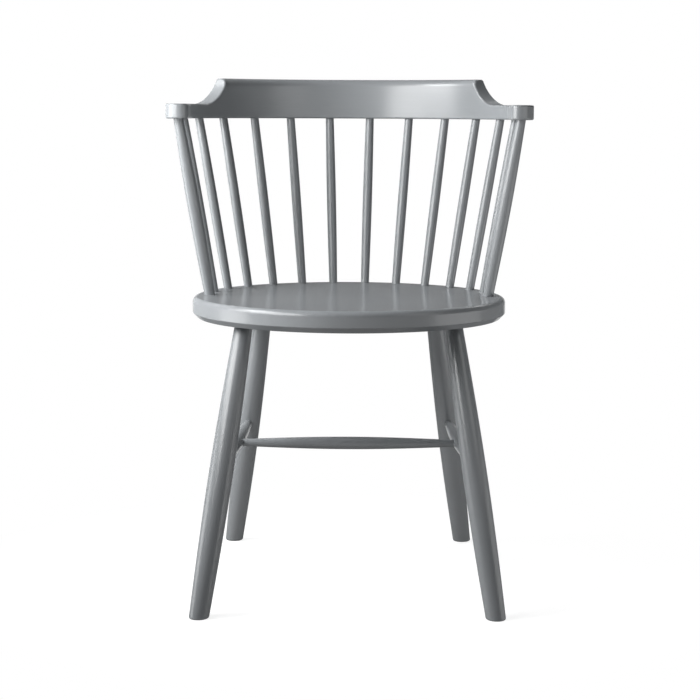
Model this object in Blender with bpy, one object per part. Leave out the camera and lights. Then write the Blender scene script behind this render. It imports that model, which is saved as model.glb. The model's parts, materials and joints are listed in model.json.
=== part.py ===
"""Painted wooden armchair with a round seat and a low spindle back.

Run it with blender --background --python part.py, or from Blender's text editor.
Units are metres, +Z is up and the chair faces -Y, so left and right are as seen from
the front. The origin lies on the floor, under the middle of the chair's outline.

Every joint is a round tenon in a blind socket. The socket takes its place, direction
and facets from the piece that stands in it, and is larger by a named clearance.
"""

import math
from typing import NamedTuple

import bmesh
import bpy
from mathutils import Matrix, Vector

# Seat: a round disc, rounded at its top edge and chamfered below
SEAT_HEIGHT = 0.430
SEAT_DIAMETER = 0.4685
SEAT_THICKNESS = 0.031
SEAT_TOP_ROUND = 0.008
SEAT_BOTTOM_CHAMFER = 0.008

# Legs: one turning for all four, fattest at its belly
LEG_FOOT_DIAMETER = 0.0283
LEG_BELLY_DIAMETER = 0.0347
LEG_NECK_DIAMETER = 0.0258
LEG_BELLY_HEIGHT = 0.180
LEG_SOCKET_ROOF = 0.012
FOOT_EDGE_ROUND = 0.0025

# Where the legs enter the seat: from its edge to the leg's axis, and the direction seen
# from above, in degrees from straight ahead or straight back
FRONT_LEG_SETBACK = 0.0437
FRONT_LEG_BEARING = 52.6
REAR_LEG_SETBACK = 0.0517
REAR_LEG_BEARING = 46.8

# How far the legs lean from upright, in degrees: splay to the side, rake fore and aft
FRONT_LEG_SPLAY = 8.1
FRONT_LEG_RAKE = 18.7
REAR_LEG_SPLAY = 7.9
REAR_LEG_RAKE = 16.0

# Stretchers: two from front leg to rear leg, and one across between them
STRETCHER_HEIGHT = 0.207
SIDE_STRETCHER_END_DIAMETER = 0.0125
SIDE_STRETCHER_BELLY_DIAMETER = 0.0220
CROSS_STRETCHER_END_DIAMETER = 0.0108
CROSS_STRETCHER_BELLY_DIAMETER = 0.0190
CROSS_STRETCHER_FORWARD = 0.010

# Uprights: thin back spindles, with a thicker post under each arm
SPINDLE_COUNT = 12
SPINDLE_SETBACK = 0.0222
SPINDLE_FOOT_DIAMETER = 0.0128
SPINDLE_BELLY_DIAMETER = 0.0148
SPINDLE_HEAD_DIAMETER = 0.0129
POST_SETBACK = 0.0252
POST_FOOT_DIAMETER = 0.0158
POST_BELLY_DIAMETER = 0.0193
POST_HEAD_DIAMETER = 0.0142
POST_HEAD_INSET = 0.001
SEAT_SOCKET_FLOOR = 0.0105
RAIL_SOCKET_ROOF = 0.008

# Angles from post to post, in degrees, round the seat and round the rail
SEAT_RING_SPREAD = 180.0
RAIL_RING_SPREAD = 191.0

# Rail: a horseshoe bow that is low along the arms and rises to a crest at the back
RAIL_ABOVE_SEAT = 0.263
BOW_OVERHANG = 0.01945
BOW_CENTRE_BACK = 0.002
BOW_BACK_THICKNESS = 0.022
ARM_WIDTH = 0.0350
ARM_THICKNESS = 0.022
ARM_REACH = 0.052
ARM_WIDENING_LENGTH = 0.185
CREST_HEIGHT = 0.0618
CREST_LENGTH = 0.4574
CREST_CORNER = 0.0045
CREST_TOP_ROUND = 0.0115
SCOOP_INNER_LENGTH = 0.0584
SCOOP_OUTER_LENGTH = 0.0670
NOSE_OUTER_ROUND = 0.0210
NOSE_INNER_ROUND = 0.0125
RAIL_EDGE_ROUND = 0.0020

# Room for glue round a tenon and at its end
SOCKET_CLEARANCE = 0.0003
TENON_END_CLEARANCE = 0.0004

# Fineness of the facets
SEAT_SIDES = 72
SEAT_ROUND_STEPS = 4
LEG_SIDES = 20
STRETCHER_SIDES = 16
SPINDLE_SIDES = 12
POST_SIDES = 16
SWELL_STEPS = 4
FOOT_ROUND_STEPS = 2
CREST_STEPS = 10
CREST_ROUND_STEPS = 2
CREST_ROUND_FADE = 0.003
CORNER_STEPS = 3
SCOOP_STEPS = 6
ARM_STEPS = 5
NOSE_ROUND_STEPS = 5
RAIL_ROUND_STEPS = 2
SHARP_ANGLE = math.radians(50)

# Heights and rings that follow from the sizes above
SEAT_UNDERSIDE = SEAT_HEIGHT - SEAT_THICKNESS
RAIL_UNDERSIDE = SEAT_HEIGHT + RAIL_ABOVE_SEAT
BOW_RADIUS = SEAT_DIAMETER / 2 + BOW_OVERHANG
CREST_TOP = RAIL_UNDERSIDE + CREST_HEIGHT
CREST_DROP = CREST_HEIGHT - ARM_THICKNESS
UPRIGHT_COUNT = SPINDLE_COUNT + 2

# Paint: an opaque satin grey, a little cool
PAINT_GREY = (0.228, 0.240, 0.250)
PAINT_ROUGHNESS = 0.25


class Swell(NamedTuple):
    """A turned stretch that is fattest at its belly, with distances along its axis."""

    start: float
    belly: float
    end: float
    start_radius: float
    belly_radius: float
    end_radius: float

    def radius_at(self, distance):
        """A quarter wave from each end up to the belly."""
        if distance < self.belly:
            share = (self.belly - distance) / (self.belly - self.start)
            side_radius = self.start_radius
        else:
            share = (distance - self.belly) / (self.end - self.belly)
            side_radius = self.end_radius
        return side_radius + (self.belly_radius - side_radius) * math.cos(share * math.pi / 2)

    def outline(self):
        """Points as (distance, radius), with the same number of steps on both sides of the belly."""
        below = [self.start + (self.belly - self.start) * k / SWELL_STEPS for k in range(SWELL_STEPS)]
        above = [self.belly + (self.end - self.belly) * k / SWELL_STEPS for k in range(SWELL_STEPS + 1)]
        return [(distance, self.radius_at(distance)) for distance in below + above]


class Socket(NamedTuple):
    """A round hole that is bored along the axis of the piece that stands in it."""

    placement: Matrix
    start: float
    end: float
    tenon_radius: float
    sides: int


def clear_scene():
    """Removes the objects that the file starts with."""
    for thing in list(bpy.data.objects):
        bpy.data.objects.remove(thing, do_unlink=True)


def paint(name):
    """Satin paint on one piece."""
    material = bpy.data.materials.new(name + "_paint")
    material.use_nodes = True
    shader = material.node_tree.nodes["Principled BSDF"]
    shader.inputs["Base Color"].default_value = (*PAINT_GREY, 1.0)
    shader.inputs["Roughness"].default_value = PAINT_ROUGHNESS
    shader.inputs["Metallic"].default_value = 0.0
    return material


def make_object(name, bm, placement, chair):
    """Makes an object of a finished bmesh, under the chair's empty."""
    bmesh.ops.recalc_face_normals(bm, faces=bm.faces[:])
    mesh = bpy.data.meshes.new(name)
    bm.to_mesh(mesh)
    bm.free()
    thing = bpy.data.objects.new(name, mesh)
    bpy.context.scene.collection.objects.link(thing)
    thing.parent = chair
    thing.matrix_basis = placement
    return thing


def make_piece(name, bm, placement, chair):
    """Makes one painted piece of the chair."""
    piece = make_object(name, bm, placement, chair)
    piece.data.shade_smooth()
    piece.data.set_sharp_from_angle(angle=SHARP_ANGLE)
    piece.data.materials.append(paint(name))
    return piece


def axis_placement(start, end):
    """Puts local +Z on the line from start to end, with its zero at start."""
    turn = (end - start).to_track_quat("Z", "Y")
    return Matrix.LocRotScale(start, turn, None)


def add_turning(bm, outline, sides, placement=Matrix()):
    """Adds a closed turned body, whose outline is (distance, radius) from end to end."""
    others = set(bm.verts)
    points = [bm.verts.new((radius, 0.0, distance)) for distance, radius in outline]
    lines = [bm.edges.new(pair) for pair in zip(points, points[1:])]
    bmesh.ops.spin(
        bm, geom=points + lines, cent=(0, 0, 0), axis=(0, 0, 1), dvec=(0, 0, 0),
        angle=math.tau, steps=sides, use_merge=True)
    rims = [edge for edge in bm.edges if edge.is_boundary]
    bmesh.ops.holes_fill(bm, edges=rims)
    turned = [vert for vert in bm.verts if vert not in others]
    bmesh.ops.transform(bm, matrix=placement, verts=turned)


def bevel_edges(bm, edges, width, steps):
    """Rounds edges with a circular profile."""
    bmesh.ops.bevel(
        bm, geom=edges, offset=width, segments=steps, profile=0.5, affect="EDGES", material=-1)


def bore(piece, sockets, chair):
    """Cuts sockets into a piece with one Boolean, whose cutter holds them all."""
    bm = bmesh.new()
    for socket in sockets:
        radius = socket.tenon_radius + SOCKET_CLEARANCE
        add_turning(bm, [(socket.start, radius), (socket.end, radius)], socket.sides, socket.placement)
    cutter = make_object(piece.name + "_sockets", bm, Matrix(), chair)
    cutter.hide_render = True
    cutter.display_type = "WIRE"
    boolean = piece.modifiers.new("sockets", "BOOLEAN")
    boolean.operation = "DIFFERENCE"
    boolean.solver = "EXACT"
    boolean.object = cutter


def make_seat(chair):
    """The round seat, turned about its own centre."""
    radius = SEAT_DIAMETER / 2
    outline = [(0.0, radius - SEAT_BOTTOM_CHAMFER), (SEAT_BOTTOM_CHAMFER, radius)]
    for step in range(SEAT_ROUND_STEPS + 1):
        turn = math.pi / 2 * step / SEAT_ROUND_STEPS
        height = SEAT_THICKNESS - SEAT_TOP_ROUND * (1 - math.sin(turn))
        outline.append((height, radius - SEAT_TOP_ROUND * (1 - math.cos(turn))))
    bm = bmesh.new()
    add_turning(bm, outline, SEAT_SIDES)
    return make_piece("seat", bm, Matrix.Translation((0, 0, SEAT_UNDERSIDE)), chair)


class Leg(NamedTuple):
    """A leg's axis, from the floor to the seat's underside."""

    name: str
    foot: Vector
    top: Vector

    def at_height(self, height):
        return self.foot.lerp(self.top, height / SEAT_UNDERSIDE)

    def slant(self):
        """Length along the axis for each unit of height."""
        return (self.top - self.foot).length / SEAT_UNDERSIDE

    def swell(self):
        return Swell(
            0.0, LEG_BELLY_HEIGHT * self.slant(), SEAT_UNDERSIDE * self.slant(),
            LEG_FOOT_DIAMETER / 2, LEG_BELLY_DIAMETER / 2, LEG_NECK_DIAMETER / 2)


def leg_axis(name, side, fore, setback, bearing, splay, rake):
    """A leg that leans out to its side, and forwards (fore -1) or back (fore 1)."""
    ring = SEAT_DIAMETER / 2 - setback
    bearing = math.radians(bearing)
    top = Vector((side * ring * math.sin(bearing), fore * ring * math.cos(bearing), SEAT_UNDERSIDE))
    lean = Vector((side * math.tan(math.radians(splay)), fore * math.tan(math.radians(rake)), -1.0))
    return Leg(name, top + lean * SEAT_UNDERSIDE, top)


def make_leg(leg, chair):
    """A leg that is cut level at the floor, and the socket that it needs in the seat."""
    placement = axis_placement(leg.foot, leg.top)
    swell = leg.swell()
    socket_end = swell.end + (SEAT_THICKNESS - LEG_SOCKET_ROOF) * leg.slant()
    outline = swell.outline()
    lowest_distance, lowest_radius = outline[1]
    taper = (lowest_radius - swell.start_radius) / lowest_distance
    spare = LEG_FOOT_DIAMETER * leg.slant()
    outline[0] = (-spare, swell.start_radius - taper * spare)
    outline.append((socket_end - TENON_END_CLEARANCE, swell.end_radius))
    bm = bmesh.new()
    add_turning(bm, outline, LEG_SIDES)
    floor_point = placement.inverted() @ Vector((0, 0, 0))
    floor_normal = placement.to_3x3().inverted() @ Vector((0, 0, 1))
    cut = bmesh.ops.bisect_plane(
        bm, geom=bm.verts[:] + bm.edges[:] + bm.faces[:], plane_co=floor_point,
        plane_no=floor_normal, clear_inner=True)
    rim = [item for item in cut["geom_cut"] if isinstance(item, bmesh.types.BMEdge)]
    bmesh.ops.holes_fill(bm, edges=rim)
    bevel_edges(bm, rim, FOOT_EDGE_ROUND, FOOT_ROUND_STEPS)
    piece = make_piece(leg.name, bm, placement, chair)
    seat_socket = Socket(placement, swell.end - LEG_NECK_DIAMETER, socket_end, swell.end_radius, LEG_SIDES)
    return piece, seat_socket


def make_stretcher(name, start, end, start_depth, end_depth, end_diameter, belly_diameter, chair):
    """A stretcher that runs from axis to axis, and its two sockets.

    Each tenon is as deep as the radius of the piece that it enters.
    """
    placement = axis_placement(start, end)
    length = (end - start).length
    tenon = end_diameter / 2
    swell = Swell(start_depth, length / 2, length - end_depth, tenon, belly_diameter / 2, tenon)
    outline = [(0.0, tenon)] + swell.outline() + [(length, tenon)]
    bm = bmesh.new()
    add_turning(bm, outline, STRETCHER_SIDES)
    piece = make_piece(name, bm, placement, chair)
    mouth = belly_diameter / 2
    start_socket = Socket(
        placement, -TENON_END_CLEARANCE, start_depth + mouth, tenon, STRETCHER_SIDES)
    end_socket = Socket(
        placement, length - end_depth - mouth, length + TENON_END_CLEARANCE, tenon, STRETCHER_SIDES)
    return piece, start_socket, end_socket


def make_side(side, side_name, chair):
    """The front leg, rear leg and side stretcher of one side.

    Gives the side stretcher with its axis, and the two sockets that the legs need in the seat.
    """
    front = leg_axis(
        f"front_{side_name}_leg", side, -1, FRONT_LEG_SETBACK, FRONT_LEG_BEARING,
        FRONT_LEG_SPLAY, FRONT_LEG_RAKE)
    rear = leg_axis(
        f"rear_{side_name}_leg", side, 1, REAR_LEG_SETBACK, REAR_LEG_BEARING,
        REAR_LEG_SPLAY, REAR_LEG_RAKE)
    front_piece, front_seat_socket = make_leg(front, chair)
    rear_piece, rear_seat_socket = make_leg(rear, chair)
    start = front.at_height(STRETCHER_HEIGHT)
    end = rear.at_height(STRETCHER_HEIGHT)
    stretcher, front_socket, rear_socket = make_stretcher(
        f"{side_name}_side_stretcher", start, end,
        front.swell().radius_at(STRETCHER_HEIGHT * front.slant()),
        rear.swell().radius_at(STRETCHER_HEIGHT * rear.slant()),
        SIDE_STRETCHER_END_DIAMETER, SIDE_STRETCHER_BELLY_DIAMETER, chair)
    bore(front_piece, [front_socket], chair)
    bore(rear_piece, [rear_socket], chair)
    return stretcher, start, end, [front_seat_socket, rear_seat_socket]


def make_cross_stretcher(left, right, chair):
    """The cross stretcher, between the two side stretchers that are given with their axes."""
    ends = []
    for _, front_end, rear_end in (left, right):
        middle = (front_end.y + rear_end.y) / 2 - CROSS_STRETCHER_FORWARD
        ends.append(front_end.lerp(rear_end, (middle - front_end.y) / (rear_end.y - front_end.y)))
    depth = SIDE_STRETCHER_BELLY_DIAMETER / 2
    _, left_socket, right_socket = make_stretcher(
        "cross_stretcher", ends[0], ends[1], depth, depth,
        CROSS_STRETCHER_END_DIAMETER, CROSS_STRETCHER_BELLY_DIAMETER, chair)
    bore(left[0], [left_socket], chair)
    bore(right[0], [right_socket], chair)


def bow_point(along, outward, height):
    """A point on the rail's bow: a half circle at the back, then straight arms.

    along is measured on the middle line from the back, to the right; outward from that line.
    """
    quarter = BOW_RADIUS * math.pi / 2
    turn = max(-quarter, min(quarter, along)) / BOW_RADIUS
    out_x, out_y = math.sin(turn), math.cos(turn)
    straight = max(0.0, abs(along) - quarter)
    reach = BOW_RADIUS + outward
    return Vector((reach * out_x, BOW_CENTRE_BACK + reach * out_y - straight, height))


def nose_along():
    """Distance along the bow's middle line from the back to the front of an arm."""
    return BOW_RADIUS * math.pi / 2 + ARM_REACH


def bow_half_width(along):
    """Half the rail's thickness in plan, which eases out towards the noses."""
    share = (abs(along) - nose_along() + ARM_WIDENING_LENGTH) / ARM_WIDENING_LENGTH
    share = max(0.0, min(1.0, share))
    ease = share * share * (3 - 2 * share)
    return (BOW_BACK_THICKNESS + (ARM_WIDTH - BOW_BACK_THICKNESS) * ease) / 2


class CrestEnd(NamedTuple):
    """The crest's outline at one end of one face: a rounded corner, then the scoop to the arm.

    They are two arcs, which touch where the outline is steepest. Distances run along the bow,
    or down from the crest's top.
    """

    length: float

    def end(self):
        return CREST_LENGTH / 2 + self.length

    def steepest(self):
        return 2 * math.atan(CREST_DROP / self.length)

    def scoop(self):
        """The radius of the arc that runs out into the arm."""
        return CREST_DROP / (1 - math.cos(self.steepest())) - CREST_CORNER

    def depths(self):
        """How far each step lies below the crest's top."""
        depths = []
        for step in range(CORNER_STEPS):
            slope = self.steepest() * step / CORNER_STEPS
            depths.append(CREST_CORNER * (1 - math.cos(slope)))
        for step in range(SCOOP_STEPS + 1):
            slope = self.steepest() * (1 - step / SCOOP_STEPS)
            depths.append(CREST_DROP - self.scoop() * (1 - math.cos(slope)))
        return depths

    def along_at(self, depth):
        if depth < CREST_CORNER * (1 - math.cos(self.steepest())):
            slope = math.acos(1 - depth / CREST_CORNER)
            return CREST_LENGTH / 2 + CREST_CORNER * math.sin(slope)
        above_arm = max(0.0, CREST_DROP - depth)
        slope = math.acos(1 - above_arm / self.scoop())
        return self.end() - self.scoop() * math.sin(slope)


class RailSection(NamedTuple):
    """Where a section across the rail lies along the bow: its top corners and its bottom."""

    inner: float
    outer: float
    bottom: float
    top_height: float

    def mirrored(self):
        return RailSection(-self.inner, -self.outer, -self.bottom, self.top_height)

    def inner_point(self, share):
        """A point on the inner face, at a share of its height, with the crest's top rounded."""
        along = self.bottom + (self.inner - self.bottom) * share
        height = RAIL_UNDERSIDE + (self.top_height - RAIL_UNDERSIDE) * share
        rise = max(0.0, height - CREST_TOP + CREST_TOP_ROUND)
        inset = CREST_TOP_ROUND - math.sqrt(max(0.0, CREST_TOP_ROUND ** 2 - rise ** 2))
        return bow_point(along, inset - bow_half_width(along), height)

    def corners(self):
        """From the outer bottom corner, over the top, to the inner bottom corner.

        The inner face's points lie on the crest's rounding, and evenly where that has ended.
        """
        points = [
            bow_point(self.bottom, bow_half_width(self.bottom), RAIL_UNDERSIDE),
            bow_point(self.outer, bow_half_width(self.outer), self.top_height)]
        fade = min(1.0, (CREST_TOP - self.top_height) / CREST_ROUND_FADE)
        for step in range(CREST_ROUND_STEPS + 1):
            turn = math.pi / 2 * step / CREST_ROUND_STEPS
            rounded = 1 - CREST_TOP_ROUND / CREST_HEIGHT * (1 - math.cos(turn))
            even = 1 - step / (CREST_ROUND_STEPS + 1)
            points.append(self.inner_point(rounded + (even - rounded) * fade))
        points.append(self.inner_point(0.0))
        return points


def right_rail_sections():
    """Sections from the middle of the back to the right nose.

    Those at the crest's end fan out, to stand across its edge.
    """
    arm_top = RAIL_UNDERSIDE + ARM_THICKNESS
    inner = CrestEnd(SCOOP_INNER_LENGTH)
    outer = CrestEnd(SCOOP_OUTER_LENGTH)
    fan_start = (CREST_LENGTH - SCOOP_INNER_LENGTH) / 2
    sections = []
    for step in range(CREST_STEPS):
        share = step / CREST_STEPS
        along = CREST_LENGTH / 2 * share
        sections.append(RailSection(along, along, fan_start * share, CREST_TOP))
    for step, depth in enumerate(inner.depths()):
        bottom = fan_start + (inner.end() - fan_start) * step / (CORNER_STEPS + SCOOP_STEPS)
        sections.append(RailSection(
            inner.along_at(depth), outer.along_at(depth), bottom, CREST_TOP - depth))
    arc_end = BOW_RADIUS * math.pi / 2
    for step in range(1, ARM_STEPS + 1):
        share = step / ARM_STEPS
        inner_along = inner.end() + (arc_end - inner.end()) * share
        outer_along = outer.end() + (arc_end - outer.end()) * share
        sections.append(RailSection(inner_along, outer_along, inner_along, arm_top))
    sections.append(RailSection(nose_along(), nose_along(), nose_along(), arm_top))
    return sections


def make_rail(chair):
    """The horseshoe rail: sections joined from nose to nose, with its edges rounded."""
    right = right_rail_sections()
    left = [section.mirrored() for section in right[:0:-1]]
    bm = bmesh.new()
    rings = []
    for section in left + right:
        rings.append([bm.verts.new(corner) for corner in section.corners()])
    for ring, following in zip(rings, rings[1:]):
        for k in range(len(ring)):
            bm.faces.new((ring[k - 1], ring[k], following[k], following[k - 1]))
    bm.faces.new(rings[0])
    bm.faces.new(rings[-1])
    bmesh.ops.recalc_face_normals(bm, faces=bm.faces[:])
    outer_corners = []
    inner_corners = []
    for ring in (rings[0], rings[-1]):
        outer_corners.append(bm.edges.get((ring[0], ring[1])))
        inner_corners.extend(bm.edges.get(pair) for pair in zip(ring[2:], ring[3:]))
    bevel_edges(bm, outer_corners, NOSE_OUTER_ROUND, NOSE_ROUND_STEPS)
    bevel_edges(bm, inner_corners, NOSE_INNER_ROUND, NOSE_ROUND_STEPS)
    sharp = [edge for edge in bm.edges if edge.calc_face_angle() > SHARP_ANGLE]
    bevel_edges(bm, sharp, RAIL_EDGE_ROUND, RAIL_ROUND_STEPS)
    return make_piece("back_rail", bm, Matrix(), chair)


def make_upright(name, share, is_post, chair):
    """A spindle or a post, and its sockets in the seat and in the rail.

    share runs from -1/2 at the left post to 1/2 at the right one.
    """
    if is_post:
        setback, inset, sides = POST_SETBACK, POST_HEAD_INSET, POST_SIDES
        diameters = POST_FOOT_DIAMETER, POST_BELLY_DIAMETER, POST_HEAD_DIAMETER
    else:
        setback, inset, sides = SPINDLE_SETBACK, 0.0, SPINDLE_SIDES
        diameters = SPINDLE_FOOT_DIAMETER, SPINDLE_BELLY_DIAMETER, SPINDLE_HEAD_DIAMETER
    foot_radius, belly_radius, head_radius = [diameter / 2 for diameter in diameters]
    ring = SEAT_DIAMETER / 2 - setback
    seat_turn = math.radians(SEAT_RING_SPREAD) * share
    foot = Vector((ring * math.sin(seat_turn), ring * math.cos(seat_turn), SEAT_HEIGHT))
    head = bow_point(math.radians(RAIL_RING_SPREAD) * share * BOW_RADIUS, -inset, RAIL_UNDERSIDE)
    placement = axis_placement(foot, head)
    length = (head - foot).length
    seat_end = SEAT_SOCKET_FLOOR - SEAT_THICKNESS
    rail_end = length + ARM_THICKNESS - RAIL_SOCKET_ROOF
    swell = Swell(0.0, length / 2, length, foot_radius, belly_radius, head_radius)
    outline = [(seat_end + TENON_END_CLEARANCE, foot_radius)] + swell.outline()
    outline.append((rail_end - TENON_END_CLEARANCE, head_radius))
    bm = bmesh.new()
    add_turning(bm, outline, sides)
    make_piece(name, bm, placement, chair)
    seat_socket = Socket(placement, seat_end, foot_radius, foot_radius, sides)
    rail_socket = Socket(placement, length - head_radius, rail_end, head_radius, sides)
    return seat_socket, rail_socket


def make_uprights(chair):
    """The arm posts and the back spindles, left to right, and all their sockets."""
    seat_sockets = []
    rail_sockets = []
    for number in range(UPRIGHT_COUNT):
        is_post = number in (0, UPRIGHT_COUNT - 1)
        if is_post:
            name = "left_arm_post" if number == 0 else "right_arm_post"
        else:
            name = f"back_spindle_{number:02d}"
        share = number / (UPRIGHT_COUNT - 1) - 0.5
        seat_socket, rail_socket = make_upright(name, share, is_post, chair)
        seat_sockets.append(seat_socket)
        rail_sockets.append(rail_socket)
    return seat_sockets, rail_sockets


def centre_on_floor(chair):
    """Moves the chair so that the middle of its outline, front to back, is at the origin."""
    reach = []
    for piece in chair.children:
        if not piece.hide_render:
            reach.extend((piece.matrix_basis @ vert.co).y for vert in piece.data.vertices)
    chair.location = (0.0, -(min(reach) + max(reach)) / 2, 0.0)


def main():
    clear_scene()
    chair = bpy.data.objects.new("chair", None)
    bpy.context.scene.collection.objects.link(chair)
    seat = make_seat(chair)
    rail = make_rail(chair)
    left_stretcher, left_front, left_rear, left_sockets = make_side(-1, "left", chair)
    right_stretcher, right_front, right_rear, right_sockets = make_side(1, "right", chair)
    make_cross_stretcher(
        (left_stretcher, left_front, left_rear), (right_stretcher, right_front, right_rear), chair)
    upright_sockets, rail_sockets = make_uprights(chair)
    bore(seat, left_sockets + right_sockets + upright_sockets, chair)
    bore(rail, rail_sockets, chair)
    centre_on_floor(chair)


main()
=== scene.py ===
"""Looks of a grey painted spindle-back armchair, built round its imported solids.

Units are metres, +Z is up and the chair faces -Y. Each turned piece takes its axis from the
solid that it stands for, and each piece keeps its own grain coordinates, which the paint reads.
"""

import json
import math
from typing import NamedTuple

import bmesh
import bpy
import numpy as np
from mathutils import Matrix, Vector


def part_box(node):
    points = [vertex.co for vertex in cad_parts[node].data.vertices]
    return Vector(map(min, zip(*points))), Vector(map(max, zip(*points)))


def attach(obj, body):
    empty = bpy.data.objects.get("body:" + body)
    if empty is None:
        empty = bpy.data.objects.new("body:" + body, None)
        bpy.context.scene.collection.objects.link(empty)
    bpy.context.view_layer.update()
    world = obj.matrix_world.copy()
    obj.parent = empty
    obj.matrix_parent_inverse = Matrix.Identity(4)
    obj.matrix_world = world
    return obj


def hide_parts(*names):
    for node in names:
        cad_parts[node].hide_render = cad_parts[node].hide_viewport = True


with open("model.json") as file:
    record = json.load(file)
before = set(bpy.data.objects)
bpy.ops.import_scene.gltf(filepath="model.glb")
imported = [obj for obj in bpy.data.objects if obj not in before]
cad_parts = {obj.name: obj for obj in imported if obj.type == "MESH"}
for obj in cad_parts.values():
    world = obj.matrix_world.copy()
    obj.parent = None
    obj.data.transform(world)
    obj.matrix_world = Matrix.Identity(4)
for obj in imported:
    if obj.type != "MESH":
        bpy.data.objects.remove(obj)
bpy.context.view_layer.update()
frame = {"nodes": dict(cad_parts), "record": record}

# Seat: a round disc, rounded at its top edge and chamfered below
SEAT_TOP_ROUND = 0.008
SEAT_BOTTOM_CHAMFER = 0.008
SEAT_CHAMFER_EASE = 0.0008

# Turned pieces: diameters where they leave a joint and at their bellies
LEG_FOOT_DIAMETER = 0.0283
LEG_BELLY_DIAMETER = 0.0347
LEG_NECK_DIAMETER = 0.0258
LEG_BELLY_HEIGHT = 0.180
FOOT_EDGE_ROUND = 0.0025
SIDE_STRETCHER_END_DIAMETER = 0.0125
SIDE_STRETCHER_BELLY_DIAMETER = 0.0220
CROSS_STRETCHER_END_DIAMETER = 0.0108
CROSS_STRETCHER_BELLY_DIAMETER = 0.0190
SPINDLE_FOOT_DIAMETER = 0.0128
SPINDLE_BELLY_DIAMETER = 0.0148
SPINDLE_HEAD_DIAMETER = 0.0129
POST_FOOT_DIAMETER = 0.0158
POST_BELLY_DIAMETER = 0.0193
POST_HEAD_DIAMETER = 0.0142

# Rail: a horseshoe bow, low along the arms, with a crest at the back that ends in two scoops
BOW_OVERHANG = 0.01945
BOW_BACK_THICKNESS = 0.022
ARM_WIDTH = 0.0350
ARM_THICKNESS = 0.022
ARM_REACH = 0.052
ARM_WIDENING_LENGTH = 0.185
CREST_LENGTH = 0.4574
CREST_CORNER = 0.0045
CREST_TOP_ROUND = 0.0115
SCOOP_INNER_LENGTH = 0.0584
SCOOP_OUTER_LENGTH = 0.0670
NOSE_OUTER_ROUND = 0.0210
NOSE_INNER_ROUND = 0.0125
RAIL_EDGE_ROUND = 0.0026

# Fineness of the meshes
SEAT_SIDES = 240
LEG_SIDES = 64
STRETCHER_SIDES = 48
UPRIGHT_SIDES = 40
SWELL_STEPS = 24
CREST_STEPS = 60
CORNER_STEPS = 6
SCOOP_STEPS = 24
RAIL_ROWS = 8
CREST_ROUND_ROWS = 4
ROW_EASE_DEPTH = 0.003
ARM_STEPS = 24
EDGE_STEPS = 5
ROUND_STEPS = 12
AXIS_PASSES = 3
END_DEPTH = 0.001
WELD_DISTANCE = 0.00001
SHARP_ANGLE = math.radians(35)

WHITE = (1.0, 1.0, 1.0, 1.0)

# Paint: opaque satin grey, sprayed over wood whose fibres and pores show a little through it.
# Its gloss is a share of the light. The share rises where the paint is seen aslant, between
# the two Fresnel values of GLOSS_SLANT.
PAINT_DARK = (0.216, 0.228, 0.238)
PAINT_LIGHT = (0.240, 0.252, 0.262)
PAINT_ROUGHNESS = 0.25
WORN_SMOOTHING = 0.10
WORN_DEPTH = 0.0015
GLOSS_FACING = 0.042
GLOSS_RISE = 0.32
GLOSS_SLANT = (0.44, 0.56)
GRAIN = "grain"
GRAIN_OFFSET = 0.731
FIBRE_SIZE = (0.0016, 0.0016, 0.060)
FIBRE_DETAIL = 3.0
FIBRE_HEIGHT = 0.000006
FIBRE_TONE = 0.7
FIBRE_ROUGHNESS = 0.04
PORE_SIZE = (0.0006, 0.0006, 0.007)
PORE_DETAIL = 1.0
PORE_EDGE = (0.08, 0.20)
PORE_DEPTH = 0.000007
PORE_TONE = 0.15
SPRAY_SIZE = (0.0024, 0.0024, 0.0024)
SPRAY_DETAIL = 1.0
SPRAY_HEIGHT = 0.000008
CLOUD_SIZE = (0.070, 0.070, 0.160)
CLOUD_DETAIL = 4.0
CLOUD_TONE = 1.2
CLOUD_ROUGHNESS = 0.06

# Stage: a pale floor in a dim room, both seen as white from the photograph's angle
FLOOR_HALF_WIDTH = 30.0
FLOOR_GREY = 0.20
SHADOW_REACH = (0.28, 0.62)
SHADOW_GLOW = 0.80
SHADOW_GREY = 0.30
WHITE_ELEVATION = math.radians(3.6)
ROOM_ELEVATION = math.radians(4.3)
ROOM_GLOW = 0.04
ROOM_FILL = 0.04

# Camera, fitted to the photograph
CAMERA_LENS = 97.3
CAMERA_PLACE = (0.0020, -2.833, 0.7067)
CAMERA_PITCH = math.radians(7.23)
CAMERA_ROLL = 0.0045

SLOTS = {subpart["node"]: subpart["material_slot"] for subpart in frame["record"]["subparts"]}


class Swell(NamedTuple):
    """A turned stretch that is fattest at its belly, with distances along its axis."""

    start: float
    belly: float
    end: float
    start_diameter: float
    belly_diameter: float
    end_diameter: float

    def diameter_at(self, distance):
        """A quarter wave from each end up to the belly."""
        if distance < self.belly:
            share = (self.belly - distance) / (self.belly - self.start)
            side = self.start_diameter
        else:
            share = (distance - self.belly) / (self.end - self.belly)
            side = self.end_diameter
        return side + (self.belly_diameter - side) * math.cos(share * math.pi / 2)

    def outline(self):
        """Points as (distance, radius) from end to end."""
        below = np.linspace(self.start, self.belly, SWELL_STEPS, endpoint=False)
        above = np.linspace(self.belly, self.end, SWELL_STEPS + 1)
        return [(place, self.diameter_at(place) / 2) for place in [*below, *above]]


class Axis(NamedTuple):
    """The axis of a turned piece, from its start to its end."""

    start: Vector
    end: Vector

    def length(self):
        return (self.end - self.start).length

    def placement(self):
        """Puts local +Z on the axis, with its zero at the start."""
        turn = (self.end - self.start).to_track_quat("Z", "Y")
        return Matrix.LocRotScale(self.start, turn, None)

    def distance_at_height(self, height):
        return self.length() * (height - self.start.z) / (self.end.z - self.start.z)


def node_points(node):
    """The corners of a solid, each once."""
    corners = np.array([vert.co for vert in frame["nodes"][node].data.vertices])
    return np.unique(corners.round(6), axis=0)


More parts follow.
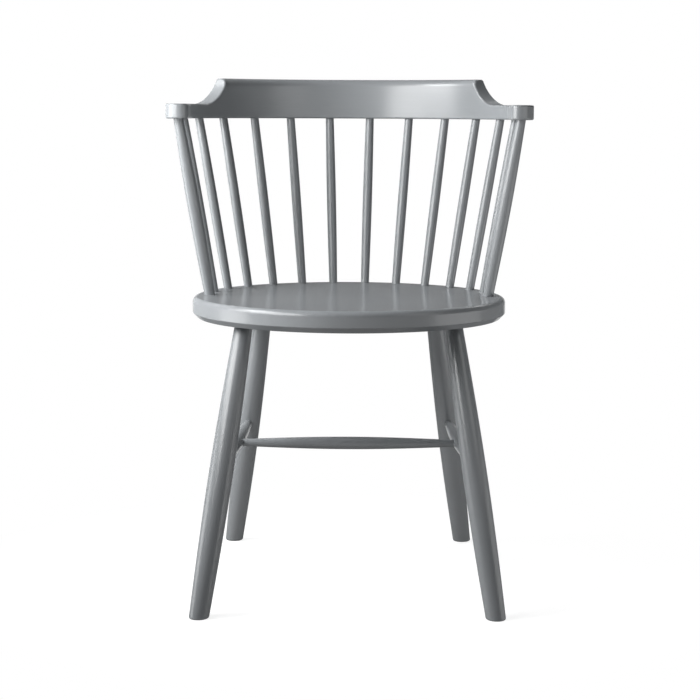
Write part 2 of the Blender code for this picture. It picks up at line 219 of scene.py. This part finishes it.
def axis_of(node):
    """The axis of a turned solid, through the middles of its two flat ends."""
    points = node_points(node)
    centred = points - points.mean(axis=0)
    direction = np.linalg.svd(centred, full_matrices=False)[2][0]
    if direction[2] < 0:
        direction = -direction
    for _ in range(AXIS_PASSES):
        reach = points @ direction
        start = points[reach < reach.min() + END_DEPTH].mean(axis=0)
        end = points[reach > reach.max() - END_DEPTH].mean(axis=0)
        direction = (end - start) / np.linalg.norm(end - start)
    return Axis(Vector(start), Vector(end))


def leg_axis_of(node):
    """The axis of a leg, from the middle of its level sole to the middle of its flat top."""
    points = node_points(node)
    start = points[points[:, 2] < WELD_DISTANCE].mean(axis=0)
    direction = axis_of(node).end - Vector(start)
    for _ in range(AXIS_PASSES):
        reach = points @ np.array(direction.normalized())
        end = points[reach > reach.max() - END_DEPTH].mean(axis=0)
        direction = Vector(end) - Vector(start)
    return Axis(Vector(start), Vector(end))


def spun(outline, sides):
    """A closed body turned about Z, whose outline is (distance, radius) from end to end."""
    bm = bmesh.new()
    points = [bm.verts.new((radius, 0.0, distance)) for distance, radius in outline]
    lines = [bm.edges.new(pair) for pair in zip(points, points[1:])]
    bmesh.ops.spin(
        bm, geom=points + lines, cent=(0, 0, 0), axis=(0, 0, 1), dvec=(0, 0, 0),
        angle=math.tau, steps=sides, use_merge=True)
    bmesh.ops.remove_doubles(bm, verts=bm.verts[:], dist=WELD_DISTANCE)
    rims = [edge for edge in bm.edges if edge.is_boundary]
    if rims:
        bmesh.ops.holes_fill(bm, edges=rims)
    bmesh.ops.recalc_face_normals(bm, faces=bm.faces[:])
    return bm


def round_edges(bm, edges, width, steps):
    """Rounds edges with a circular profile."""
    bmesh.ops.bevel(
        bm, geom=edges, offset=width, segments=steps, profile=0.5, affect="EDGES", material=-1)


def finish_piece(bm, node, paint, grain):
    """Makes the piece that stands for a solid. grain gives a point's place in its wood."""
    bmesh.ops.recalc_face_normals(bm, faces=bm.faces[:])
    mesh = bpy.data.meshes.new("painted_" + node)
    bm.to_mesh(mesh)
    bm.free()
    mesh.shade_smooth()
    mesh.set_sharp_from_angle(angle=SHARP_ANGLE)
    offset = Vector((0.0, 0.0, GRAIN_OFFSET * sorted(SLOTS).index(node)))
    places = mesh.attributes.new(GRAIN, "FLOAT_VECTOR", "POINT")
    for vert in mesh.vertices:
        places.data[vert.index].vector = grain(vert.co) + offset
    mesh.materials.append(paint)
    piece = bpy.data.objects.new(mesh.name, mesh)
    bpy.context.scene.collection.objects.link(piece)
    even = piece.modifiers.new("even_normals", "WEIGHTED_NORMAL")
    even.keep_sharp = True
    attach(piece, "root")
    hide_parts(node)


def finish_turning(bm, axis, node, paint):
    """Puts a turned piece on its axis, with its grain along it."""
    placement = axis.placement()
    home = placement.inverted()
    bmesh.ops.transform(bm, matrix=placement, verts=bm.verts[:])
    finish_piece(bm, node, paint, lambda point: home @ point)


def make_seat(paint):
    """The seat: its corners are turned sharp and then rounded."""
    low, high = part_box("seat")
    radius = (high.x - low.x) / 2
    thickness = high.z - low.z
    corners = [
        (0.0, 0.0), (0.0, radius - SEAT_BOTTOM_CHAMFER), (SEAT_BOTTOM_CHAMFER, radius),
        (thickness, radius), (thickness, 0.0)]
    bm = spun(corners, SEAT_SIDES)
    sharp = [edge for edge in bm.edges if edge.calc_face_angle() > SHARP_ANGLE]
    top = [edge for edge in sharp if edge.verts[0].co.z > thickness / 2]
    chamfer = [edge for edge in sharp if edge.verts[0].co.z < thickness / 2]
    round_edges(bm, top, SEAT_TOP_ROUND, ROUND_STEPS)
    round_edges(bm, chamfer, SEAT_CHAMFER_EASE, EDGE_STEPS)
    centre = Vector(((low.x + high.x) / 2, (low.y + high.y) / 2, low.z))
    bmesh.ops.translate(bm, vec=centre, verts=bm.verts[:])
    across = Matrix.Rotation(math.pi / 2, 3, "X")
    finish_piece(bm, "seat", paint, lambda point: across @ (point - centre))


def make_leg(node, paint):
    """A leg, cut level at the floor and rounded round its sole."""
    axis = leg_axis_of(node)
    seat_low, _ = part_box("seat")
    neck = axis.distance_at_height(seat_low.z)
    swell = Swell(
        0.0, axis.distance_at_height(LEG_BELLY_HEIGHT), neck,
        LEG_FOOT_DIAMETER, LEG_BELLY_DIAMETER, LEG_NECK_DIAMETER)
    outline = swell.outline()
    # The first point moves below the floor, so that the level cut meets the whole sole
    second, second_radius = outline[1]
    slope = (second_radius - LEG_FOOT_DIAMETER / 2) / second
    outline[0] = (-LEG_FOOT_DIAMETER, LEG_FOOT_DIAMETER / 2 - slope * LEG_FOOT_DIAMETER)
    outline.append((axis.length(), LEG_NECK_DIAMETER / 2))
    bm = spun(outline, LEG_SIDES)
    to_local = axis.placement().inverted()
    cut = bmesh.ops.bisect_plane(
        bm, geom=bm.verts[:] + bm.edges[:] + bm.faces[:], plane_co=to_local @ Vector((0, 0, 0)),
        plane_no=to_local.to_3x3() @ Vector((0, 0, 1)), clear_inner=True)
    rim = [item for item in cut["geom_cut"] if isinstance(item, bmesh.types.BMEdge)]
    bmesh.ops.holes_fill(bm, edges=rim)
    round_edges(bm, rim, FOOT_EDGE_ROUND, EDGE_STEPS)
    finish_turning(bm, axis, node, paint)


def make_stretcher(node, end_diameter, belly_diameter, end_depth, paint):
    """A stretcher, whose swell runs between the pieces that its ends go into."""
    axis = axis_of(node)
    length = axis.length()
    swell = Swell(
        end_depth, length / 2, length - end_depth, end_diameter, belly_diameter, end_diameter)
    tenon = end_diameter / 2
    outline = [(0.0, tenon)] + swell.outline() + [(length, tenon)]
    finish_turning(spun(outline, STRETCHER_SIDES), axis, node, paint)


def make_upright(node, foot_diameter, belly_diameter, head_diameter, paint):
    """A spindle or a post, whose swell runs from the seat's top to the rail's underside."""
    axis = axis_of(node)
    _, seat_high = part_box("seat")
    rail_low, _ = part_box("back_rail")
    foot = axis.distance_at_height(seat_high.z)
    head = axis.distance_at_height(rail_low.z)
    swell = Swell(foot, (foot + head) / 2, head, foot_diameter, belly_diameter, head_diameter)
    outline = [(0.0, foot_diameter / 2)] + swell.outline() + [(axis.length(), head_diameter / 2)]
    finish_turning(spun(outline, UPRIGHT_SIDES), axis, node, paint)


class Bow:
    """The rail's middle line: a half circle at the back, then straight arms."""

    def __init__(self):
        low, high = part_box("back_rail")
        self.underside = low.z
        self.crest_top = high.z
        seat_low, seat_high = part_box("seat")
        self.radius = (seat_high.x - seat_low.x) / 2 + BOW_OVERHANG
        self.centre_y = high.y - BOW_BACK_THICKNESS / 2 - self.radius
        self.quarter = self.radius * math.pi / 2
        self.nose = self.quarter + ARM_REACH

    def point(self, along, outward, height):
        """along is measured from the back, to the right; outward from the middle line."""
        turn = max(-self.quarter, min(self.quarter, along)) / self.radius
        straight = max(0.0, abs(along) - self.quarter)
        reach = self.radius + outward
        return Vector((
            reach * math.sin(turn), self.centre_y + reach * math.cos(turn) - straight, height))

    def half_width(self, along):
        """Half the rail's thickness in plan, which eases out towards the noses."""
        share = 1 + (abs(along) - self.nose) / ARM_WIDENING_LENGTH
        share = max(0.0, min(1.0, share))
        ease = share * share * (3 - 2 * share)
        return (BOW_BACK_THICKNESS + (ARM_WIDTH - BOW_BACK_THICKNESS) * ease) / 2

    def inset(self, height):
        """How far the crest's rounded top edge stands back from its inner face."""
        rise = max(0.0, height - self.crest_top + CREST_TOP_ROUND)
        return CREST_TOP_ROUND - math.sqrt(max(0.0, CREST_TOP_ROUND ** 2 - rise ** 2))

    def grain(self, point):
        """A point's place in the bent wood: outward, up and along."""
        forward = max(0.0, self.centre_y - point.y)
        turn = math.atan2(point.x, max(0.0, point.y - self.centre_y))
        along = turn * self.radius + math.copysign(forward, point.x)
        outward = math.hypot(point.x, max(0.0, point.y - self.centre_y)) - self.radius
        return Vector((outward, point.z - self.underside, along))


class CrestEnd(NamedTuple):
    """The crest's outline at one end of one face: a rounded corner, then the scoop to the arm.

    They are two arcs, which touch where the outline is steepest. Distances run along the bow,
    or down from the crest's top.
    """

    length: float
    drop: float

    def end(self):
        return CREST_LENGTH / 2 + self.length

    def steepest(self):
        return 2 * math.atan(self.drop / self.length)

    def scoop(self):
        """The radius of the arc that runs out into the arm."""
        return self.drop / (1 - math.cos(self.steepest())) - CREST_CORNER

    def depths(self):
        """How far each step lies below the crest's top."""
        corner_slopes = np.linspace(0.0, self.steepest(), CORNER_STEPS, endpoint=False)
        scoop_slopes = np.linspace(self.steepest(), 0.0, SCOOP_STEPS + 1)
        over_corner = CREST_CORNER * (1 - np.cos(corner_slopes))
        down_scoop = self.drop - self.scoop() * (1 - np.cos(scoop_slopes))
        return [*over_corner, *down_scoop]

    def along_at(self, depth):
        if depth < CREST_CORNER * (1 - math.cos(self.steepest())):
            slope = math.acos(1 - depth / CREST_CORNER)
            return CREST_LENGTH / 2 + CREST_CORNER * math.sin(slope)
        above_arm = max(0.0, self.drop - depth)
        slope = math.acos(1 - above_arm / self.scoop())
        return self.end() - self.scoop() * math.sin(slope)


class RailSection(NamedTuple):
    """Where a section across the rail lies along the bow: its top corners and its bottom."""

    inner: float
    outer: float
    bottom: float
    top: float

    def mirrored(self):
        return RailSection(-self.inner, -self.outer, -self.bottom, self.top)

    def inner_rows(self, bow):
        """Shares of the height for rows of points, which crowd on the crest's rounded edge."""
        even = np.linspace(0.0, 1.0, RAIL_ROWS + 1)
        flat = 1 - CREST_TOP_ROUND / (bow.crest_top - bow.underside)
        below = np.linspace(0.0, flat, RAIL_ROWS - CREST_ROUND_ROWS, endpoint=False)
        turns = np.linspace(0.0, math.pi / 2, CREST_ROUND_ROWS + 1)
        crowded = np.array([*below, *(flat + (1 - flat) * np.sin(turns))])
        ease = min(1.0, (bow.crest_top - self.top) / ROW_EASE_DEPTH)
        return crowded + (even - crowded) * ease

    def face_point(self, bow, side, top_along, share):
        """A point on the outer face, of side 1, or on the inner one, of side -1."""
        along = self.bottom + (top_along - self.bottom) * share
        height = bow.underside + (self.top - bow.underside) * share
        outward = bow.half_width(along)
        if side < 0:
            outward -= bow.inset(height)
        return bow.point(along, side * outward, height)

    def outline(self, bow):
        """Rows of points up the outer face, and down the inner one."""
        up = np.linspace(0.0, 1.0, RAIL_ROWS + 1)
        down = self.inner_rows(bow)[::-1]
        outer = [self.face_point(bow, 1, self.outer, share) for share in up]
        inner = [self.face_point(bow, -1, self.inner, share) for share in down]
        return outer + inner


def right_rail_sections(bow):
    """Sections from the middle of the back to the right nose.

    Those at the crest's end fan out, to stand across its edge.
    """
    arm_top = bow.underside + ARM_THICKNESS
    drop = bow.crest_top - arm_top
    inner = CrestEnd(SCOOP_INNER_LENGTH, drop)
    outer = CrestEnd(SCOOP_OUTER_LENGTH, drop)
    fan_start = (CREST_LENGTH - SCOOP_INNER_LENGTH) / 2
    sections = []
    for share in np.linspace(0.0, 1.0, CREST_STEPS, endpoint=False):
        along = CREST_LENGTH / 2 * share
        sections.append(RailSection(along, along, fan_start * share, bow.crest_top))
    depths = inner.depths()
    for depth, share in zip(depths, np.linspace(0.0, 1.0, len(depths))):
        bottom = fan_start + (inner.end() - fan_start) * share
        sections.append(RailSection(
            inner.along_at(depth), outer.along_at(depth), bottom, bow.crest_top - depth))
    for share in np.linspace(0.0, 1.0, ARM_STEPS + 1)[1:]:
        inner_along = inner.end() + (bow.quarter - inner.end()) * share
        outer_along = outer.end() + (bow.quarter - outer.end()) * share
        sections.append(RailSection(inner_along, outer_along, inner_along, arm_top))
    sections.append(RailSection(bow.nose, bow.nose, bow.nose, arm_top))
    return sections


def make_rail(paint):
    """The horseshoe rail: extruded from nose to nose, with its edges rounded."""
    bow = Bow()
    right = right_rail_sections(bow)
    left = [section.mirrored() for section in right[:0:-1]]
    first, *others = left + right
    bm = bmesh.new()
    end = bm.faces.new([bm.verts.new(point) for point in first.outline(bow)])
    left_nose = end.verts[:]
    for section in others:
        end = bmesh.ops.extrude_discrete_faces(bm, faces=[end])["faces"][0]
        for vert, point in zip(end.verts, section.outline(bow)):
            vert.co = point
    bmesh.ops.holes_fill(bm, edges=[edge for edge in bm.edges if edge.is_boundary])
    bmesh.ops.recalc_face_normals(bm, faces=bm.faces[:])
    outer_corners = []
    inner_corners = []
    for nose in (left_nose, end.verts[:]):
        lines = [bm.edges.get(pair) for pair in zip(nose, nose[1:])]
        outer_corners.extend(lines[:RAIL_ROWS])
        inner_corners.extend(lines[-RAIL_ROWS:])
    round_edges(bm, outer_corners, NOSE_OUTER_ROUND, ROUND_STEPS)
    round_edges(bm, inner_corners, NOSE_INNER_ROUND, ROUND_STEPS)
    sharp = [edge for edge in bm.edges if edge.calc_face_angle() > SHARP_ANGLE]
    round_edges(bm, sharp, RAIL_EDGE_ROUND, EDGE_STEPS)
    finish_piece(bm, "back_rail", paint, bow.grain)


class Signal:
    """A node's output. Arithmetic on it adds Math nodes."""

    def __init__(self, socket):
        self.socket = socket

    @classmethod
    def node(cls, tree, kind, settings, inputs, output=0):
        """Adds a node: its settings first, then the value or the link of each socket."""
        node = tree.nodes.new(kind)
        for name, value in settings.items():
            setattr(node, name, value)
        sockets = {socket.identifier: socket for socket in node.inputs}
        for name, value in inputs.items():
            if isinstance(value, cls):
                tree.links.new(value.socket, sockets[name])
            else:
                sockets[name].default_value = value
        return cls(node.outputs[output])

    @classmethod
    def mix_shader(cls, tree, share, first, second):
        """The first shader where the share is 0, and the second where it is 1."""
        return cls.node(tree, "ShaderNodeMixShader", {}, {
            "Fac": share, "Shader": first, "Shader_001": second})

    def math(self, operation, first, second):
        """Adds a Math node to this signal's own tree."""
        return self.node(
            self.socket.id_data, "ShaderNodeMath", {"operation": operation},
            {"Value": first, "Value_001": second})

    def __add__(self, other):
        return self.math("ADD", self, other)

    def __sub__(self, other):
        return self.math("SUBTRACT", self, other)

    def __rsub__(self, other):
        return self.math("SUBTRACT", other, self)

    def __mul__(self, other):
        return self.math("MULTIPLY", self, other)

    def __or__(self, other):
        return self.math("MAXIMUM", self, other)

    __radd__ = __add__
    __rmul__ = __mul__


def new_tree(owner):
    """The empty node tree of a material or a world."""
    owner.use_nodes = True
    owner.node_tree.nodes.clear()
    return owner.node_tree


def end_tree(tree, kind, shader):
    """Links a shader to the tree's output node."""
    tree.links.new(shader.socket, tree.nodes.new(kind).inputs["Surface"])


def noise(tree, place, size, detail):
    """Noise whose patches are about as large as size, in metres, and whose mean is zero."""
    scale = tuple(1 / side for side in size)
    scaled = Signal.node(tree, "ShaderNodeMapping", {}, {"Vector": place, "Scale": scale})
    share = Signal.node(
        tree, "ShaderNodeTexNoise", {}, {"Vector": scaled, "Scale": 1.0, "Detail": detail}, "Fac")
    return share - 0.5


def ease_between(tree, value, start, end):
    """0 up to the start and 1 from the end on, with a smooth change between them."""
    return Signal.node(tree, "ShaderNodeMapRange", {"interpolation_type": "SMOOTHSTEP"}, {
        "Value": value, "From Min": start, "From Max": end})


def make_paint(name, worn_height=None):
    """Satin paint, sprayed over wood whose fibres and pores show a little through it.

    A surface at the worn height is rubbed smoother by use.
    """
    material = bpy.data.materials.new(name)
    tree = new_tree(material)
    place = Signal.node(tree, "ShaderNodeAttribute", {"attribute_name": GRAIN}, {}, "Vector")
    fibres = noise(tree, place, FIBRE_SIZE, FIBRE_DETAIL)
    pores = ease_between(tree, noise(tree, place, PORE_SIZE, PORE_DETAIL), *PORE_EDGE)
    spray = noise(tree, place, SPRAY_SIZE, SPRAY_DETAIL)
    clouds = noise(tree, place, CLOUD_SIZE, CLOUD_DETAIL)
    tone = 0.5 + CLOUD_TONE * clouds + FIBRE_TONE * fibres - PORE_TONE * pores
    colour = Signal.node(tree, "ShaderNodeMix", {"data_type": "RGBA"}, {
        "Factor_Float": tone, "A_Color": (*PAINT_DARK, 1.0), "B_Color": (*PAINT_LIGHT, 1.0)},
        "Result")
    roughness = PAINT_ROUGHNESS + CLOUD_ROUGHNESS * clouds + FIBRE_ROUGHNESS * fibres
    if worn_height is not None:
        point = Signal.node(tree, "ShaderNodeTexCoord", {}, {}, "Object")
        rise = Signal.node(tree, "ShaderNodeSeparateXYZ", {}, {"Vector": point}, "Z")
        worn = ease_between(tree, rise, worn_height - WORN_DEPTH, worn_height)
        roughness = roughness - WORN_SMOOTHING * worn
    height = FIBRE_HEIGHT * fibres + SPRAY_HEIGHT * spray - PORE_DEPTH * pores
    normal = Signal.node(tree, "ShaderNodeBump", {}, {"Height": height, "Distance": 1.0})
    pigment = Signal.node(tree, "ShaderNodeBsdfPrincipled", {}, {
        "Base Color": colour, "Roughness": roughness, "Normal": normal,
        "Specular IOR Level": 0.0})
    gloss = Signal.node(tree, "ShaderNodeBsdfPrincipled", {}, {
        "Base Color": WHITE, "Metallic": 1.0, "Roughness": roughness, "Normal": normal})
    fresnel = Signal.node(tree, "ShaderNodeFresnel", {}, {})
    share = GLOSS_FACING + GLOSS_RISE * ease_between(tree, fresnel, *GLOSS_SLANT)
    shader = Signal.mix_shader(tree, share, pigment, gloss)
    end_tree(tree, "ShaderNodeOutputMaterial", shader)
    return material


def make_chair():
    """All the pieces, each in the place of its solid."""
    paint = make_paint("satin_grey_paint")
    _, seat_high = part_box("seat")
    make_seat(make_paint("worn_grey_paint", seat_high.z))
    make_rail(paint)
    for node in ("front_left_leg", "front_right_leg", "rear_left_leg", "rear_right_leg"):
        make_leg(node, paint)
    for node in ("left_side_stretcher", "right_side_stretcher"):
        make_stretcher(
            node, SIDE_STRETCHER_END_DIAMETER, SIDE_STRETCHER_BELLY_DIAMETER,
            LEG_BELLY_DIAMETER / 2, paint)
    make_stretcher(
        "cross_stretcher", CROSS_STRETCHER_END_DIAMETER, CROSS_STRETCHER_BELLY_DIAMETER,
        SIDE_STRETCHER_BELLY_DIAMETER / 2, paint)
    for node in ("left_arm_post", "right_arm_post"):
        make_upright(node, POST_FOOT_DIAMETER, POST_BELLY_DIAMETER, POST_HEAD_DIAMETER, paint)
    for node in sorted(SLOTS):
        if node.startswith("back_spindle"):
            make_upright(
                node, SPINDLE_FOOT_DIAMETER, SPINDLE_BELLY_DIAMETER, SPINDLE_HEAD_DIAMETER, paint)


def rays_seen(tree):
    """1 for rays from the camera, and for reflected and refracted ones."""
    camera = Signal.node(tree, "ShaderNodeLightPath", {}, {}, "Is Camera Ray")
    glossy = Signal.node(tree, "ShaderNodeLightPath", {}, {}, "Is Glossy Ray")
    through = Signal.node(tree, "ShaderNodeLightPath", {}, {}, "Is Transmission Ray")
    return camera | glossy | through


def make_floor():
    """A pale floor: seen, it is white, and near the chair it keeps a light shadow."""
    bm = bmesh.new()
    bmesh.ops.create_grid(bm, x_segments=1, y_segments=1, size=FLOOR_HALF_WIDTH)
    mesh = bpy.data.meshes.new("floor")
    bm.to_mesh(mesh)
    bm.free()
    material = bpy.data.materials.new("pale_floor")
    tree = new_tree(material)
    pale = Signal.node(tree, "ShaderNodeBsdfDiffuse", {}, {
        "Color": (FLOOR_GREY, FLOOR_GREY, FLOOR_GREY, 1.0)})
    place = Signal.node(tree, "ShaderNodeTexCoord", {}, {}, "Object")
    distance = Signal.node(
        tree, "ShaderNodeVectorMath", {"operation": "LENGTH"}, {"Vector": place}, "Value")
    far = ease_between(tree, distance, *SHADOW_REACH)
    glow = Signal.node(tree, "ShaderNodeEmission", {}, {"Strength": SHADOW_GLOW})
    lit = Signal.node(tree, "ShaderNodeBsdfDiffuse", {}, {
        "Color": (SHADOW_GREY, SHADOW_GREY, SHADOW_GREY, 1.0)})
    shaded = Signal.node(tree, "ShaderNodeAddShader", {}, {"Shader": glow, "Shader_001": lit})
    white = Signal.node(tree, "ShaderNodeEmission", {}, {"Strength": 1.0})
    seen = Signal.mix_shader(tree, far, shaded, white)
    shader = Signal.mix_shader(tree, rays_seen(tree), pale, seen)
    end_tree(tree, "ShaderNodeOutputMaterial", shader)
    mesh.materials.append(material)
    floor = bpy.data.objects.new("floor", mesh)
    bpy.context.scene.collection.objects.link(floor)


def make_room():
    """A dim room, white where the camera sees it, low over the floor."""
    world = bpy.data.worlds.new("room")
    bpy.context.scene.world = world
    tree = new_tree(world)
    direction = Signal.node(tree, "ShaderNodeTexCoord", {}, {}, "Generated")
    rise = Signal.node(tree, "ShaderNodeSeparateXYZ", {}, {"Vector": direction}, "Z")
    high = ease_between(tree, rise, math.sin(WHITE_ELEVATION), math.sin(ROOM_ELEVATION))
    white, dim, fill = [
        Signal.node(tree, "ShaderNodeBackground", {}, {"Color": WHITE, "Strength": strength})
        for strength in (1.0, ROOM_GLOW, ROOM_FILL)]
    seen = Signal.mix_shader(tree, high, white, dim)
    shader = Signal.mix_shader(tree, rays_seen(tree), fill, seen)
    end_tree(tree, "ShaderNodeOutputWorld", shader)


class Softbox(NamedTuple):
    """A soft flat lamp. Its bearing is turned from the front, to the left."""

    name: str
    bearing: float
    distance: float
    height: float
    aim_height: float
    width: float
    length: float
    power: float


SOFTBOXES = (
    Softbox("key", 61.5, 1.06, 1.06, 1.45, 1.08, 1.04, 30.5),
    Softbox("left_high_fill", 84, 1.30, 1.62, 0.45, 0.70, 0.60, 20.0),
    Softbox("left_low_fill", 84, 1.05, 0.28, 0.40, 0.50, 0.40, 3.3),
    Softbox("right_front_fill", -50, 0.95, 0.80, 0.40, 0.50, 0.50, 1.1),
    Softbox("right_low_fill", -78, 0.95, 0.24, 0.38, 0.75, 0.45, 2.0),
    Softbox("left_back_fill", 150, 1.70, 1.60, 0.45, 0.80, 0.60, 11.5),
    Softbox("right_back_fill", -150, 1.70, 1.60, 0.45, 0.80, 0.60, 13.0),
)


def make_softbox(softbox):
    data = bpy.data.lights.new(softbox.name, "AREA")
    data.shape = "RECTANGLE"
    data.size = softbox.width
    data.size_y = softbox.length
    data.energy = softbox.power
    turn = math.radians(softbox.bearing)
    place = Vector((
        -softbox.distance * math.sin(turn), -softbox.distance * math.cos(turn), softbox.height))
    facing = (place - Vector((0.0, 0.0, softbox.aim_height))).to_track_quat("Z", "Y")
    lamp = bpy.data.objects.new(softbox.name, data)
    lamp.matrix_world = Matrix.LocRotScale(place, facing, None)
    bpy.context.scene.collection.objects.link(lamp)


def make_camera():
    data = bpy.data.cameras.new("camera")
    data.lens = CAMERA_LENS
    camera = bpy.data.objects.new("camera", data)
    bpy.context.scene.collection.objects.link(camera)
    pitch = Matrix.Rotation(math.pi / 2 - CAMERA_PITCH, 4, "X")
    roll = Matrix.Rotation(CAMERA_ROLL, 4, "Z")
    camera.matrix_world = Matrix.Translation(CAMERA_PLACE) @ pitch @ roll
    bpy.context.scene.camera = camera


make_chair()
make_floor()
make_room()
for softbox in SOFTBOXES:
    make_softbox(softbox)
make_camera()
bpy.context.scene.view_settings.view_transform = "Standard"
